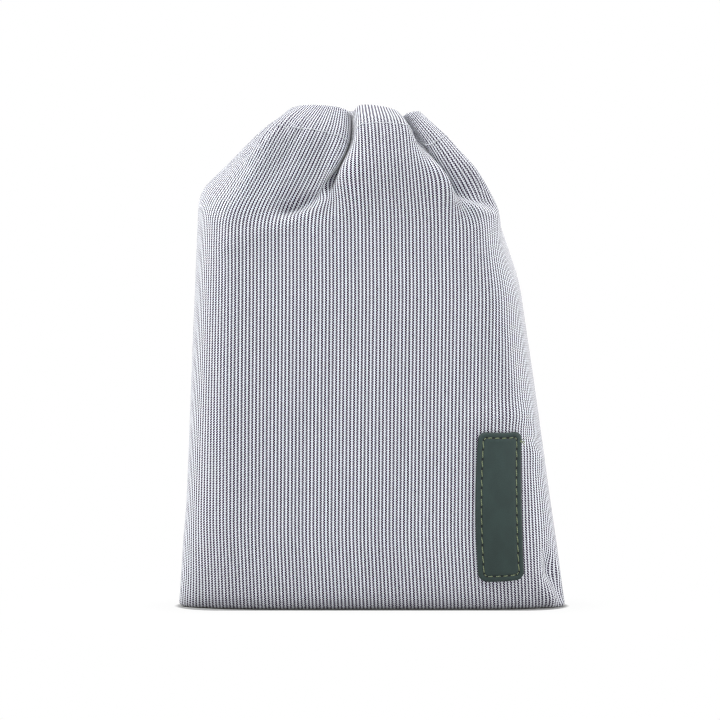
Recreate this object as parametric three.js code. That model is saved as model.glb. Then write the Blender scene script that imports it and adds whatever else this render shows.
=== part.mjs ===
import * as THREE from 'three';

// A drawstring pouch of two striped cloth panels, filled and standing upright with its neck gathered.
// Millimetres. X runs to the right, Y away from the viewer, Z up from the floor.

// Cloth
const clothThickness = 0.5;
const clearance = 0.3;                // air between pieces that touch
const seamGap = 0.3;                  // along the cloth, between the edges of the two panels
const panelShift = 0.2;               // how far each panel stands off the plane of the seams
const panelWidth = 157;               // cloth across one panel, seam to seam
const threadRadius = 0.2;

// Body, as it stands
const cornerPull = 3;                 // how far each bottom corner is drawn in, because the base opens
const baseAside = -0.6;               // the base's middle stands a little to the left
const baseFrontDepth = 14.6;          // cloth from the bottom seam to the base's front edge
const baseBackDepth = 18;
const shoulderCloth = 165;            // cloth from the bottom seam up to the shoulder
const sideShoulderHeight = 160.5;     // shoulder above the floor, at the side seams
const shoulderDrop = 10.5;            // how much lower it is in front, where cloth goes under the base
const shoulderTilt = 6.5;             // how much lower the right shoulder is than the left

// Neck and channel
const neckCloth = 37;                 // from the shoulder up to the channel's stitching
const channelCloth = 15;              // from the stitching up to the mouth's edge
const stitchingHeight = 187;          // above the floor, at its highest
const mouthHeight = 194.3;            // above the floor: the channel leans in
const cordRadius = 0.8;
const cordSlack = 0.4;                // air round the cord in its channel
const cordBelowMouth = 5;
const foldWidth = 4.8;                // width of a fold at its bottom
const backFoldWidth = 18;             // of the soft folds that run down the back

// Label
const labelWidth = 16.9;
const labelHeight = 56.8;
const labelThickness = 1.4;
const labelCornerRadius = 3;
const labelSeamInset = 2.1;
const labelFromRightSeam = 28.5;      // cloth from the right seam to the label's middle
const labelAboveFloor = 39.2;         // the label's middle
const labelThreadRadius = 0.25;

// Rounding, as half the length of cloth that a bend takes
const baseBend = 1.8;
const cornerBend = 3;                 // round the base's corners
const bodyBend = 5.5;
const sideBend = 5;
const neckBend = 4;
const swayBend = 2.5;
const mouthBend = 6;

// Fineness
const frontColumns = 54;
const backColumns = 50;
const bendSamples = 9;

const baseHalfWidth = panelWidth / 2 - cornerPull;
const stitchCloth = shoulderCloth + neckCloth;
const mouthCloth = stitchCloth + channelCloth;
const hemDepth = clothThickness + 2 * (cordSlack + cordRadius);
const hemAtStitching = clothThickness + clearance;

// Cross-sections of the body, by the cloth below them. leftIn and rightIn are how far the sides stand
// in from the base's corners. front and back are the depths of the two faces, leftSeam and rightSeam
// how far the seams lie to the rear, and the turns are the widths of the rounded sides. The spare
// cloth at the back goes into two soft folds.
const bodySections = [
  {
    cloth: 42, leftIn: 3.1, rightIn: 5.7, front: 15, back: 15.5, leftSeam: 0.8, rightSeam: 0.2,
    leftTurn: 14, rightTurn: 13, crown: 0.5, foldDepth: 0, leftFold: -46, rightFold: 30,
  },
  {
    cloth: 92, leftIn: 4.9, rightIn: 12.6, front: 14, back: 23, leftSeam: 3.1, rightSeam: 8.2,
    leftTurn: 12, rightTurn: 10, crown: 1.5, foldDepth: 5, leftFold: -46, rightFold: 28,
  },
  {
    cloth: 135, leftIn: 6.3, rightIn: 18.6, front: 11.5, back: 30, leftSeam: 7.3, rightSeam: 16.8,
    leftTurn: 12, rightTurn: 9, crown: 2, foldDepth: 8, leftFold: -44, rightFold: 24,
  },
  {
    cloth: shoulderCloth, leftIn: 7.5, rightIn: 26.7, front: 8.5, back: 35, leftSeam: 11.2, rightSeam: 27.9,
    leftTurn: 11, rightTurn: 8, crown: 2, foldDepth: 13, leftFold: -40, rightFold: 20,
  },
];

// The gathered neck, from the left seam round the front to the right seam, then round the back.
// Each corner has the cloth up to it from the panel's first seam, and its place at the channel's
// stitching and at the mouth's edge: x, y and how much lower it hangs than the highest point there.
// Corners marked as folds are drawn in towards the middle.
const neckFront = [
  { cloth: 0, stitching: [-44, 12, 2], mouth: [-31, 14.5, 1.5] },
  { cloth: 11.5, stitching: [-43.5, 3, 2.5], mouth: [-33, 9, 1.2] },
  { cloth: 22, stitching: [-38, -4, 2], mouth: [-29.5, 4, 0.2] },
  { cloth: 32.5, stitching: [-30, -6.5, 2], mouth: [-22, 2, 0] },
  { cloth: 51, stitching: [-13.5, -6, 5], mouth: [-12.5, 1.5, 1] },
  { cloth: 57.5, stitching: [-10.4, -5.5, 8], mouth: [-8.6, 2, 3] },
  { cloth: 66, stitching: [-8.4, 2.5, 8.5], mouth: [-8.2, 6.5, 5], fold: true },
  { cloth: 74.5, stitching: [-6, -9, 1], mouth: [-7, -1.5, 0.2] },
  { cloth: 85, stitching: [3.5, -9, 0.2], mouth: [2, -2, 0.8] },
  { cloth: 97, stitching: [15, -8.5, 1.2], mouth: [10.8, -1.5, 3.2] },
  { cloth: 108.5, stitching: [16, -0.5, 7], mouth: [9.5, 4, 5], fold: true },
  { cloth: 120, stitching: [21.3, -6.5, 10], mouth: [12, -2, 4] },
  { cloth: 130, stitching: [28, -3.5, 5], mouth: [17, -0.5, 2.5] },
  { cloth: 137.5, stitching: [28.5, 4, 5.5], mouth: [18, 5.5, 2.5] },
  { cloth: 146, stitching: [28, 12, 5.5], mouth: [18, 11.5, 2] },
  { cloth: 157, stitching: [26.5, 18.5, 4], mouth: [17, 17, 2] },
];
const neckBack = [
  { cloth: 0, stitching: [26.5, 18.5, 4], mouth: [17, 17, 2] },
  { cloth: 8.5, stitching: [25, 24.5, 3], mouth: [15.5, 22, 2] },
  { cloth: 15.5, stitching: [19, 27.5, 4], mouth: [12, 23.5, 2] },
  { cloth: 31.5, stitching: [10, 17, 7], mouth: [7, 15.5, 5], fold: true },
  { cloth: 46, stitching: [9, 28, 2], mouth: [6.5, 23.5, 1] },
  { cloth: 54.5, stitching: [3, 31, 1], mouth: [1.5, 26, 0] },
  { cloth: 98.5, stitching: [-16, 31, 1], mouth: [-11, 26, 0] },
  { cloth: 107, stitching: [-22, 28, 3], mouth: [-15.5, 23.5, 2] },
  { cloth: 121.5, stitching: [-23, 17, 8], mouth: [-15, 14.5, 5], fold: true },
  { cloth: 136, stitching: [-30, 25, 4], mouth: [-20.5, 22, 2] },
  { cloth: 144.5, stitching: [-39, 21.5, 3], mouth: [-26.5, 20, 2] },
  { cloth: 157, stitching: [-44, 12, 2], mouth: [-31, 14.5, 1.5] },
];

// Halfway up the neck, how far the front stands off the straight way from the shoulder.
const neckSway = [
  { cloth: 0, by: [0, 0, 0] },
  { cloth: 22, by: [0, 1.2, 0] },
  { cloth: 45, by: [0, 1.2, 0] },
  { cloth: 57.5, by: [-1.5, -1.5, -2.3] },
  { cloth: 63, by: [-1.6, 1.5, 1.4] },
  { cloth: 69, by: [-4, -6, 3.5] },
  { cloth: 76, by: [0, -3, 0] },
  { cloth: 97, by: [0, -3, 0] },
  { cloth: 107.5, by: [6.2, -6.5, 2.5] },
  { cloth: 114, by: [-2.8, 2.5, 1.8] },
  { cloth: 121, by: [-1, -0.5, -2] },
  { cloth: 132, by: [4.6, -5, 1.5] },
  { cloth: 139, by: [3.6, -5, -0.5] },
  { cloth: 147, by: [2.4, -4, -1] },
  { cloth: 157, by: [0, 0, 0] },
];

const clothColour = '#a7a9b2';
const whiteThreadColour = '#e6e8ee';
const cordColour = '#dcdad4';
const leatherColour = '#3c4a48';
const labelThreadColour = '#7f8b62';

// A place round the pouch is a share: 0 at the left seam, 1 at the right seam, 2 at the left again.
// A half ring is a chain of corners from one seam to the other. On the body, where the cloth lies
// smooth, the share at each corner comes from the length of the chain up to it.
function smoothChain(corners) {
  const points = corners.map(([x, y]) => new THREE.Vector3(x, y, 0));
  const lengths = [0];
  points.slice(1).forEach((point, i) => lengths.push(lengths[i] + point.distanceTo(points[i])));
  return { points, marks: lengths.map((length) => length / lengths.at(-1)) };
}

// In the neck the share comes from the cloth. A fold is two corners side by side, so that its walls
// stay apart.
function gatheredChain(corners, level) {
  const chain = { points: [], marks: [] };
  corners.forEach((corner, i) => {
    const point = new THREE.Vector3(...corner[level]);
    if (!corner.fold) {
      chain.points.push(point);
      chain.marks.push(corner.cloth / corners.at(-1).cloth);
      return;
    }
    const before = new THREE.Vector3(...corners[i - 1][level]);
    const half = new THREE.Vector3(...corners[i + 1][level]).sub(before).setZ(0).setLength(foldWidth / 2);
    chain.points.push(point.clone().sub(half), point.clone().add(half));
    for (const side of [-1, 1]) {
      chain.marks.push((corner.cloth + side * foldWidth / 2) / corners.at(-1).cloth);
    }
  });
  return chain;
}

function onChain({ points, marks }, share) {
  const next = Math.max(1, marks.findIndex((mark) => mark >= share));
  const along = (share - marks[next - 1]) / (marks[next] - marks[next - 1]);
  return points[next - 1].clone().lerp(points[next], along);
}

function ring(front, back, bend) {
  const reach = bend / panelWidth;
  return (share) => {
    const sum = new THREE.Vector3();
    for (let i = 0; i < bendSamples; i += 1) {
      const offset = reach * (2 * i / (bendSamples - 1) - 1);
      const place = THREE.MathUtils.euclideanModulo(share + offset, 2);
      sum.add(onChain(place < 1 ? front : back, place % 1));
    }
    return sum.divideScalar(bendSamples);
  };
}

function baseRing() {
  const outline = [
    [-1, 0],
    [-0.91, -0.45],
    [-0.76, -0.8],
    [-0.55, -1],
    [0.63, -1],
    [0.8, -0.8],
    [0.92, -0.45],
    [1, 0],
  ];
  const sized = (corners, depth) => (
    corners.map(([x, y]) => [baseAside + x * baseHalfWidth, y * depth])
  );
  const back = sized(outline, -baseBackDepth).reverse();
  return ring(smoothChain(sized(outline, baseFrontDepth)), smoothChain(back), cornerBend);
}

function bodyRing(section) {
  const left = baseAside - baseHalfWidth + section.leftIn;
  const right = baseAside + baseHalfWidth - section.rightIn;
  const { front, back, leftSeam, rightSeam, leftTurn, rightTurn, crown, leftFold, rightFold } = section;
  const depthBetween = THREE.MathUtils.lerp;
  const frontCorners = [
    [left, leftSeam],
    [left + 0.3 * leftTurn, depthBetween(leftSeam, -front, 0.6)],
    [left + leftTurn, -front],
    [0, -front - crown],
    [right - rightTurn, -front],
    [right - 0.25 * rightTurn, depthBetween(rightSeam, -front, 0.65)],
    [right, rightSeam],
  ];
  const foldBottom = back - section.foldDepth;
  const backCorners = [
    [right, rightSeam],
    [right - 0.25 * rightTurn, depthBetween(rightSeam, back, 0.65)],
    [right - rightTurn, back],
    [rightFold + backFoldWidth / 2, back + crown / 2],
    [rightFold, foldBottom],
    [rightFold - backFoldWidth / 2, back + crown],
    [leftFold + backFoldWidth / 2, back + crown],
    [leftFold, foldBottom],
    [leftFold - backFoldWidth / 2, back + crown / 2],
    [left + leftTurn, back],
    [left + 0.3 * leftTurn, depthBetween(leftSeam, back, 0.6)],
    [left, leftSeam],
  ];
  return ring(smoothChain(frontCorners), smoothChain(backCorners), sideBend);
}

function neckRing(level, bend) {
  return ring(gatheredChain(neckFront, level), gatheredChain(neckBack, level), bend);
}

function swayRing() {
  const still = new THREE.Vector3();
  const front = {
    points: neckSway.map((corner) => new THREE.Vector3(...corner.by)),
    marks: neckSway.map((corner) => corner.cloth / neckSway.at(-1).cloth),
  };
  return ring(front, { points: [still, still], marks: [0, 1] }, swayBend);
}

const baseEdge = baseRing();
const bodyRings = bodySections.map((section) => ({ cloth: section.cloth, at: bodyRing(section) }));
const stitchRing = neckRing('stitching', neckBend);
const mouthRing = neckRing('mouth', mouthBend);
const swayAt = swayRing();

// One thread of the warp, from the bottom seam to the mouth: the corners of its path, each with the
// cloth below it.
function warpThread(share) {
  const floor = clothThickness / 2;
  const edge = baseEdge(share);
  const under = Math.max(Math.abs(edge.y), 0.01);
  const rightwards = share < 1 ? share : 2 - share;
  const fromSeam = THREE.MathUtils.smoothstep(under, 0, share < 1 ? baseFrontDepth : baseBackDepth);
  const shoulderHeight = sideShoulderHeight - shoulderDrop * fromSeam
    - shoulderTilt * rightwards * (1 - fromSeam);
  const rise = shoulderHeight / (shoulderCloth - under);
  const path = [
    { cloth: 0, point: new THREE.Vector3(edge.x, 0, floor) },
    { cloth: under, point: new THREE.Vector3(edge.x, edge.y, floor) },
  ];
  bodyRings.forEach(({ cloth, at }) => {
    const place = at(share);
    path.push({ cloth, point: new THREE.Vector3(place.x, place.y, floor + rise * (cloth - under)) });
  });
  const stitching = stitchRing(share);
  const mouth = mouthRing(share);
  stitching.setZ(stitchingHeight - stitching.z);
  const halfway = path.at(-1).point.clone().lerp(stitching, 0.5).add(swayAt(share));
  path.push({ cloth: shoulderCloth + neckCloth / 2, point: halfway });
  path.push({ cloth: stitchCloth, point: stitching });
  path.push({ cloth: mouthCloth, point: mouth.setZ(mouthHeight - mouth.z) });
  return path;
}

function onThread(path, cloth) {
  if (cloth < 0) return onThread(path, -cloth).multiply(new THREE.Vector3(1, -1, 1));
  const found = path.findIndex((corner) => corner.cloth >= cloth);
  const next = found < 0 ? path.length - 1 : Math.max(found, 1);
  const from = path[next - 1];
  const to = path[next];
  return from.point.clone().lerp(to.point, (cloth - from.cloth) / (to.cloth - from.cloth));
}

const threads = new Map();

function threadAt(share) {
  const place = THREE.MathUtils.euclideanModulo(share, 2);
  if (!threads.has(place)) threads.set(place, warpThread(place));
  return threads.get(place);
}

// The middle of the cloth at a share round the pouch and a length of cloth above the bottom seam.
function clothPoint(share, cloth) {
  const path = threadAt(share);
  const bend = THREE.MathUtils.lerp(baseBend, bodyBend, THREE.MathUtils.smoothstep(cloth, 10, 40));
  const sum = new THREE.Vector3();
  for (let i = 0; i < bendSamples; i += 1) {
    sum.add(onThread(path, cloth + bend * (2 * i / (bendSamples - 1) - 1)));
  }
  return sum.divideScalar(bendSamples);
}

// Which way the cloth faces there. Near the bottom corners, where the two panels meet at a sharp
// angle, only the panel's own cloth counts.
function clothNormal(share, cloth) {
  const gathered = THREE.MathUtils.smoothstep(cloth, shoulderCloth, stitchCloth);
  const step = THREE.MathUtils.lerp(1.5, neckBend, gathered);
  const panel = share > 1 ? 1 : 0;
  const reach = step / panelWidth;
  const past = reach * THREE.MathUtils.smoothstep(cloth, 5, 40);
  const left = Math.max(share - reach, panel - past);
  const right = Math.min(share + reach, panel + 1 + past);
  const low = Math.max(cloth - step, 0);
  const high = Math.min(cloth + step, mouthCloth);
  const across = clothPoint(right, cloth).sub(clothPoint(left, cloth));
  const upwards = clothPoint(share, high).sub(clothPoint(share, low));
  return across.cross(upwards).normalize();
}

function offCloth(share, cloth, height) {
  const point = clothPoint(share, cloth).addScaledVector(clothNormal(share, cloth), height);
  point.y += share > 1 ? panelShift : -panelShift;
  return point;
}

// A closed sheet: place(i, j, side) gives its points, row by row, on side 1 (outer) and 0 (inner).
function closedSheet(columns, rows, place) {
  const positions = [];
  const index = [];
  const at = (i, j, side) => ((side * (rows + 1)) + j) * (columns + 1) + i;
  for (const side of [0, 1]) {
    for (let j = 0; j <= rows; j += 1) {
      for (let i = 0; i <= columns; i += 1) positions.push(...place(i, j, side).toArray());
    }
  }
  const quad = (a, b, c, d) => index.push(a, b, c, a, c, d);
  for (let j = 0; j < rows; j += 1) {
    for (let i = 0; i < columns; i += 1) {
      quad(at(i, j, 1), at(i + 1, j, 1), at(i + 1, j + 1, 1), at(i, j + 1, 1));
      quad(at(i, j, 0), at(i, j + 1, 0), at(i + 1, j + 1, 0), at(i + 1, j, 0));
    }
    quad(at(0, j, 0), at(0, j, 1), at(0, j + 1, 1), at(0, j + 1, 0));
    quad(at(columns, j, 0), at(columns, j + 1, 0), at(columns, j + 1, 1), at(columns, j, 1));
  }
  for (let i = 0; i < columns; i += 1) {
    quad(at(i, 0, 0), at(i + 1, 0, 0), at(i + 1, 0, 1), at(i, 0, 1));
    quad(at(i, rows, 0), at(i, rows, 1), at(i + 1, rows, 1), at(i + 1, rows, 0));
  }
  return geometryOf(positions, index);
}

// A round cord through the points, closed into a loop or capped at both ends.
function cordAlong(points, radius, sides, loop) {
  const positions = [];
  const index = [];
  const count = points.length;
  const up = new THREE.Vector3(0, 0, 1);
  points.forEach((point, i) => {
    const before = points[loop ? (i + count - 1) % count : Math.max(i - 1, 0)];
    const after = points[loop ? (i + 1) % count : Math.min(i + 1, count - 1)];
    const along = after.clone().sub(before).normalize();
    const pole = Math.abs(along.z) > 0.8 ? new THREE.Vector3(0, 1, 0) : up;
    const aside = along.clone().cross(pole).normalize();
    const above = aside.clone().cross(along);
    for (let k = 0; k < sides; k += 1) {
      const angle = 2 * Math.PI * k / sides;
      const rim = point.clone().addScaledVector(aside, radius * Math.cos(angle));
      positions.push(...rim.addScaledVector(above, radius * Math.sin(angle)).toArray());
    }
  });
  const spans = loop ? count : count - 1;
  for (let i = 0; i < spans; i += 1) {
    for (let k = 0; k < sides; k += 1) {
      const a = i * sides + k;
      const b = i * sides + (k + 1) % sides;
      const c = ((i + 1) % count) * sides + (k + 1) % sides;
      const d = ((i + 1) % count) * sides + k;
      index.push(a, c, b, a, d, c);
    }
  }
  if (!loop) {
    const last = (count - 1) * sides;
    for (let k = 1; k < sides - 1; k += 1) {
      index.push(0, k, k + 1, last, last + k + 1, last + k);
    }
  }
  return geometryOf(positions, index);
}

function geometryOf(positions, index) {
  const geometry = new THREE.BufferGeometry();
  geometry.setAttribute('position', new THREE.Float32BufferAttribute(positions, 3));
  geometry.setIndex(index);
  geometry.computeVertexNormals();
  return geometry;
}

function spaced(from, to, count) {
  return Array.from({ length: count + 1 }, (_, i) => from + (to - from) * i / count);
}

// Rows of a panel, from the bottom seam up: close together in the bends, and on past the mouth's edge
// for the hem, which is turned in and comes down to the stitching inside. The cloth below a row is a
// share of the cloth under the base there, plus the length past it.
const hemTurn = 1.5;
const bodyRows = [
  { ofBase: 0, past: seamGap / 2 }, { ofBase: 0.5, past: 0 }, { ofBase: 0.87, past: 0 },
  { ofBase: 0.97, past: 0 }, { ofBase: 1, past: 0.9 }, { ofBase: 1, past: 3 }, { ofBase: 1, past: 7 },
  { ofBase: 0.6, past: 17 }, { ofBase: 0.2, past: 32 },
  ...spaced(48, shoulderCloth - 30, 4).map((past) => ({ ofBase: 0, past })),
  ...[15, 7, 1, -5].map((below) => ({ ofBase: 0, past: shoulderCloth - below })),
  ...spaced(shoulderCloth + 13, stitchCloth, 4).map((past) => ({ ofBase: 0, past })),
  ...[channelCloth - 5, cordBelowMouth, hemTurn, 0].map((below) => ({ ofBase: 0, past: mouthCloth - below })),
];
const hemRows = [hemTurn, cordBelowMouth, channelCloth - 5, channelCloth];

function hemInset(below) {
  const turn = Math.min(below / hemTurn, 1);
  const down = THREE.MathUtils.smoothstep(below, cordBelowMouth + 1, channelCloth);
  return Math.sqrt(1 - (1 - turn) ** 2) * THREE.MathUtils.lerp(hemDepth, hemAtStitching, down);
}

// Columns of a panel, from its first seam: closer together where the neck folds in.
function panelShares(start, columns) {
  const folds = (start === 0 ? neckFront : neckBack).filter((corner) => corner.fold);
  const tries = spaced(seamGap / 2, panelWidth - seamGap / 2, 600);
  const crowding = (cloth) => (
    folds.reduce((sum, fold) => sum + 2.5 * Math.exp(-(((cloth - fold.cloth) / 3.5) ** 2)), 1)
  );
  const running = [0];
  tries.slice(1).forEach((cloth, i) => running.push(running[i] + crowding(cloth)));
  return spaced(0, running.at(-1), columns).map((sum) => {
    const found = running.findIndex((value) => value >= sum - 1e-9);
    return start + tries[found] / panelWidth;
  });
}

function panel(start, columns) {
  const shares = panelShares(start, columns);
  const under = shares.map((share) => Math.max(Math.abs(baseEdge(share).y), 2));
  const rows = bodyRows.map(({ ofBase, past }) => ({ ofBase, past, inset: 0, turned: 1 }));
  hemRows.forEach((below) => (
    rows.push({ ofBase: 0, past: mouthCloth - below, inset: hemInset(below), turned: -1 })
  ));
  return closedSheet(columns, rows.length - 1, (i, j, side) => {
    const { ofBase, past, inset, turned } = rows[j];
    const cloth = ofBase * under[i] + past;
    const half = (side === 1 ? 0.5 : -0.5) * clothThickness * turned;
    const atMouth = cloth === mouthCloth;
    if (!atMouth) return offCloth(shares[i], cloth, half - inset);
    const lift = new THREE.Vector3(0, 0, half);
    return offCloth(shares[i], cloth, -0.2 * hemDepth).add(lift);
  });
}

function channelStitching(start, columns) {
  const height = clothThickness / 2 + clearance + threadRadius;
  const shares = panelShares(start, columns).slice(1, -1);
  return cordAlong(shares.map((share) => offCloth(share, stitchCloth, height)), threadRadius, 4, false);
}

function drawstring() {
  const inset = -(clothThickness / 2 + cordSlack + cordRadius);
  const level = mouthCloth - cordBelowMouth;
  const shares = [...panelShares(0, frontColumns), ...panelShares(1, backColumns).slice(1, -1)];
  const points = shares.map((share) => (
    clothPoint(share, level).addScaledVector(clothNormal(share, level), inset)
  ));
  return cordAlong(points, cordRadius, 6, true);
}

// The stitching that joins the panels runs inside the pouch, just behind the seam.
function sideSeamStitching(share) {
  const inset = clothThickness / 2 + 3 * clearance + threadRadius;
  const points = spaced(12, stitchCloth - 6, 26).map((cloth) => (
    clothPoint(share, cloth).addScaledVector(clothNormal(share, cloth), -inset)
  ));
  return cordAlong(points, threadRadius, 4, false);
}

function bottomSeamStitching() {
  const height = clothThickness + clearance + threadRadius;
  const points = spaced(0.1, 0.9, 24).map((share) => {
    const seam = clothPoint(share, 0);
    return new THREE.Vector3(seam.x, 0, height);
  });
  return cordAlong(points, threadRadius, 4, false);
}

// The label follows the front. across and upwards are measured from its middle.
const labelShare = 1 - labelFromRightSeam / panelWidth;
const labelCloth = labelAboveFloor + Math.abs(baseEdge(labelShare).y);

function onLabel(across, upwards, height) {
  return offCloth(labelShare + across / panelWidth, labelCloth + upwards, height);
}

function labelHalfWidth(upwards, inset) {
  const radius = labelCornerRadius - inset;
  const intoCorner = Math.max(Math.abs(upwards) - (labelHeight / 2 - labelCornerRadius), 0);
  return labelWidth / 2 - inset - radius + Math.sqrt(Math.max(radius ** 2 - intoCorner ** 2, 0));
}

function leatherLabel() {
  const straight = labelHeight / 2 - labelCornerRadius;
  const corner = [0, 30, 60, 90].map((degrees) => Math.sin(THREE.MathUtils.degToRad(degrees)));
  const upper = corner.map((part) => straight + labelCornerRadius * part);
  const levels = [...upper.map((level) => -level).reverse(), ...spaced(-straight, straight, 12).slice(1, -1),
    ...upper];
  const columns = 6;
  const under = clothThickness / 2 + clearance;
  return closedSheet(columns, levels.length - 1, (i, j, side) => {
    const across = labelHalfWidth(levels[j], 0) * (2 * i / columns - 1);
    return onLabel(across, levels[j], under + side * labelThickness);
  });
}

function labelStitching() {
  const corner = new THREE.Path();
  const x = labelWidth / 2 - labelSeamInset;
  const y = labelHeight / 2 - labelSeamInset;
  const radius = Math.max(labelCornerRadius - labelSeamInset, 0.9);
  corner.moveTo(x, -y + radius).lineTo(x, y - radius).absarc(x - radius, y - radius, radius, 0, Math.PI / 2);
  corner.lineTo(-x + radius, y).absarc(-x + radius, y - radius, radius, Math.PI / 2, Math.PI);
  corner.lineTo(-x, -y + radius).absarc(-x + radius, -y + radius, radius, Math.PI, 1.5 * Math.PI);
  corner.lineTo(x - radius, -y).absarc(x - radius, -y + radius, radius, 1.5 * Math.PI, 2 * Math.PI);
  const height = clothThickness / 2 + clearance + labelThickness + clearance + labelThreadRadius;
  const points = corner.getSpacedPoints(72).slice(0, -1).map((spot) => onLabel(spot.x, spot.y, height));
  return cordAlong(points, labelThreadRadius, 4, true);
}

function add(group, name, geometry, color, roughness) {
  const mesh = new THREE.Mesh(geometry, new THREE.MeshStandardMaterial({ color, roughness, metalness: 0 }));
  mesh.name = name;
  group.add(mesh);
}

const pouch = new THREE.Group();
pouch.name = 'drawstring_pouch';
add(pouch, 'front_panel', panel(0, frontColumns), clothColour, 0.9);
add(pouch, 'back_panel', panel(1, backColumns), clothColour, 0.9);
add(pouch, 'drawstring', drawstring(), cordColour, 0.85);
add(pouch, 'leather_label', leatherLabel(), leatherColour, 0.55);
add(pouch, 'label_stitching', labelStitching(), labelThreadColour, 0.7);
add(pouch, 'channel_stitching_front', channelStitching(0, frontColumns), whiteThreadColour, 0.8);
add(pouch, 'channel_stitching_back', channelStitching(1, backColumns), whiteThreadColour, 0.8);
add(pouch, 'left_seam_stitching', sideSeamStitching(0), whiteThreadColour, 0.8);
add(pouch, 'right_seam_stitching', sideSeamStitching(1), whiteThreadColour, 0.8);
add(pouch, 'bottom_seam_stitching', bottomSeamStitching(), whiteThreadColour, 0.8);

const box = new THREE.Box3().setFromObject(pouch);
const middle = box.getCenter(new THREE.Vector3());
pouch.position.set(-middle.x, -middle.y, -box.min.z);

export default pouch;
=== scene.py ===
import math

import bpy
import numpy as np
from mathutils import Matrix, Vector


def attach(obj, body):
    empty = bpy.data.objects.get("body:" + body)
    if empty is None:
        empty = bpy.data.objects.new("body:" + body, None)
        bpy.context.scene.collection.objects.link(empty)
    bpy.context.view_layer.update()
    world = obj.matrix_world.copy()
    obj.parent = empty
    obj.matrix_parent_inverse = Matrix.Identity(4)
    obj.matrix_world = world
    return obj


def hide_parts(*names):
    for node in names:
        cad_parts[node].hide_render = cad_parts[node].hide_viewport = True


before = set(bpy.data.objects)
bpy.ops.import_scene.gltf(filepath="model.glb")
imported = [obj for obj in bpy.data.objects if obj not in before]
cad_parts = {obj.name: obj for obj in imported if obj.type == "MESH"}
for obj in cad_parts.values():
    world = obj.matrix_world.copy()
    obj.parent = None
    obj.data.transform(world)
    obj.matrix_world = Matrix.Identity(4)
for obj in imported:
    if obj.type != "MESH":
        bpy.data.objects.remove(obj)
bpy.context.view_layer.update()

mm = 0.001

# the cloth and how the pouch stands, in millimetres
pouch = {
    "panelWidth": 157.0,
    "clothThickness": 0.5,
    "cornerPull": 3.0,
    "baseAside": -0.6,
    "baseFrontDepth": 14.6,
    "baseBackDepth": 18.0,
    "shoulderCloth": 165.0,
    "sideShoulderHeight": 160.5,
    "shoulderDrop": 10.5,
    "shoulderTilt": 6.5,
    "neckCloth": 37.0,
    "channelCloth": 15.0,
    "stitchingHeight": 187.0,
    "mouthHeight": 194.3,
    "foldWidth": 4.8,
    "backFoldWidth": 18.0,
    "baseBend": 3.5,
    "cornerBend": 3.0,
    "bodyBend": 5.5,
    "sideBend": 5.0,
    "neckBend": 4.0,
    "swayBend": 2.5,
    "mouthBend": 4.8,
    "place": (0.59, -9.455, 0.0),  # from the seams' plane to the row frame
}

# cross-sections of the body, lowest first
bodySections = [
    {
        "cloth": 42, "leftIn": 3.1, "rightIn": 5.7, "front": 15, "back": 15.5,
        "leftSeam": 0.8, "rightSeam": 0.2, "leftTurn": 14, "rightTurn": 13, "crown": 0.5,
        "foldDepth": 0, "leftFold": -46, "rightFold": 30,
    },
    {
        "cloth": 92, "leftIn": 4.9, "rightIn": 12.0, "front": 14, "back": 23,
        "leftSeam": 3.1, "rightSeam": 8.2, "leftTurn": 12, "rightTurn": 10, "crown": 1.5,
        "foldDepth": 5, "leftFold": -46, "rightFold": 28,
    },
    {
        "cloth": 135, "leftIn": 6.3, "rightIn": 17.1, "front": 11.5, "back": 30,
        "leftSeam": 7.3, "rightSeam": 16.8, "leftTurn": 12, "rightTurn": 9, "crown": 2,
        "foldDepth": 8, "leftFold": -44, "rightFold": 24,
    },
    {
        "cloth": 165, "leftIn": 7.5, "rightIn": 25.9, "front": 8.5, "back": 35,
        "leftSeam": 11.2, "rightSeam": 27.9, "leftTurn": 11, "rightTurn": 8, "crown": 2,
        "foldDepth": 13, "leftFold": -40, "rightFold": 20,
    },
]

# the gathered neck, seam to seam: cloth, place at the stitching, place at the mouth, drawn-in fold
neckFront = [
    (0, (-44, 12, 2), (-31, 14.5, 1.5), False),
    (11.5, (-43.5, 3, 2.5), (-33, 9, 1.2), False),
    (22, (-38, -4, 2), (-29.5, 4, 0.2), False),
    (32.5, (-30, -6.5, 2), (-22, 2, 0), False),
    (51, (-13.5, -6, 5), (-12.5, 1.5, 1), False),
    (57.5, (-9.6, -5.5, 8), (-8.2, 2, 3), False),
    (66, (-8.4, 2.5, 8.5), (-8.2, 6.5, 5), True),
    (74.5, (-6.8, -9, 1), (-7.6, -1.5, 0.2), False),
    (85, (3.5, -9, 0.2), (2, -2, 0.8), False),
    (97, (15, -8.5, 1.2), (10.8, -1.5, 3.2), False),
    (108.5, (16, -0.5, 7), (9.5, 4, 5), True),
    (120, (21.3, -6.5, 10), (12, -2, 4), False),
    (130, (28, -3.5, 5), (17, -0.5, 2.5), False),
    (137.5, (28.5, 4, 5.5), (18, 5.5, 2.5), False),
    (146, (28, 12, 5.5), (18, 11.5, 2), False),
    (157, (26.5, 18.5, 4), (17, 17, 2), False),
]
neckBack = [
    (0, (26.5, 18.5, 4), (17, 17, 2), False),
    (8.5, (25, 24.5, 3), (15.5, 22, 2), False),
    (15.5, (19, 27.5, 4), (12, 23.5, 2), False),
    (31.5, (10, 17, 7), (7, 15.5, 5), True),
    (46, (9, 28, 2), (6.5, 23.5, 1), False),
    (54.5, (3, 31, 1), (1.5, 26, 0), False),
    (98.5, (-16, 31, 1), (-11, 26, 0), False),
    (107, (-22, 28, 3), (-15.5, 23.5, 2), False),
    (121.5, (-23, 17, 8), (-15, 14.5, 5), True),
    (136, (-30, 25, 4), (-20.5, 22, 2), False),
    (144.5, (-39, 21.5, 3), (-26.5, 20, 2), False),
    (157, (-44, 12, 2), (-31, 14.5, 1.5), False),
]
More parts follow.
